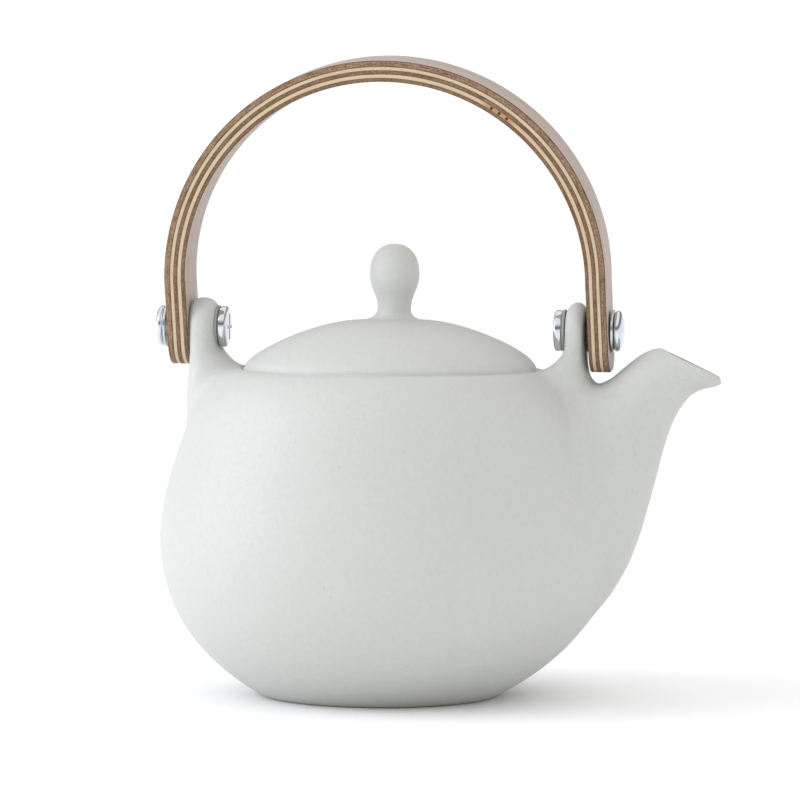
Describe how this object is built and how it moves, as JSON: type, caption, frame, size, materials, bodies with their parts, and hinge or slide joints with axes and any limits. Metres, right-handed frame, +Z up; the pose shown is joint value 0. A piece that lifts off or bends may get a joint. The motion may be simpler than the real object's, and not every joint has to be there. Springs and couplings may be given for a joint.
{
  "type": "ceramic teapot with bail handle",
  "caption": "Round glazed ceramic teapot with a broad open spout, a domed lid with an egg-shaped knob, a lift-out strainer and a swinging bent plywood bail on binding posts.",
  "frame": {"origin": "the middle of the pot's flat base, on the pot's axis, on the surface it stands on", "axes": "+Z up along the pot's axis, +X towards the spout, the bail swings about an axis along X"},
  "size_m": [0.1686, 0.1372, 0.1913],
  "materials": {
    "pot_glaze": "matt warm white glaze",
    "lid_glaze": "matt warm white glaze",
    "strainer_rim_steel": "satin stainless sheet",
    "strainer_mesh_steel": "fine stainless mesh",
    "strainer_ring_steel": "satin stainless sheet",
    "strainer_floor_steel": "fine stainless mesh",
    "outer_veneer_wood": "pale pinkish face with a dark edge, satin",
    "outer_core_wood": "cream edge, satin",
    "middle_core_wood": "dark edge, satin",
    "inner_core_wood": "cream edge, satin",
    "inner_veneer_wood": "pale pinkish face with a dark edge, satin",
    "post_nut_chrome": "polished",
    "post_screw_chrome": "polished",
    "outer_washer_steel": "bright",
    "spacer_rubber": "matt black",
    "inner_washer_rubber": "matt dark grey"
  },
  "bodies": {
    "pot": {"pot_body": "pot_glaze", "spout": "pot_glaze", "left_lug": "pot_glaze", "right_lug": "pot_glaze", "left_post_nut": "post_nut_chrome", "left_post_screw": "post_screw_chrome", "left_outer_washer": "outer_washer_steel", "left_spacer_washer": "spacer_rubber", "left_inner_washer": "inner_washer_rubber", "right_post_nut": "post_nut_chrome", "right_post_screw": "post_screw_chrome", "right_outer_washer": "outer_washer_steel", "right_spacer_washer": "spacer_rubber", "right_inner_washer": "inner_washer_rubber"},
    "handle": {"handle_outer_veneer": "outer_veneer_wood", "handle_outer_core": "outer_core_wood", "handle_middle_core": "middle_core_wood", "handle_inner_core": "inner_core_wood", "handle_inner_veneer": "inner_veneer_wood"},
    "lid": {"lid": "lid_glaze"},
    "strainer": {"strainer_rim": "strainer_rim_steel", "strainer_wall": "strainer_mesh_steel", "strainer_base_ring": "strainer_ring_steel", "strainer_floor": "strainer_floor_steel"}
  },
  "joints": [
    {"name": "handle_swing", "type": "hinge", "parent": "pot", "child": "handle", "pos_m": [0, 0, 0.11], "axis": [1, 0, 0], "range_deg": [-117, 106]},
    {"name": "lid_lift", "type": "slide", "parent": "pot", "child": "lid", "axis": [0, 0, 1], "range_m": [0, 0.046]},
    {"name": "strainer_lift", "type": "slide", "parent": "pot", "child": "strainer", "axis": [0, 0, 1], "range_m": [0, 0.0368]}
  ],
  "couplings": [
    {"joint": "strainer_lift", "follows": "lid_lift", "ratio": 0.8}
  ]
}
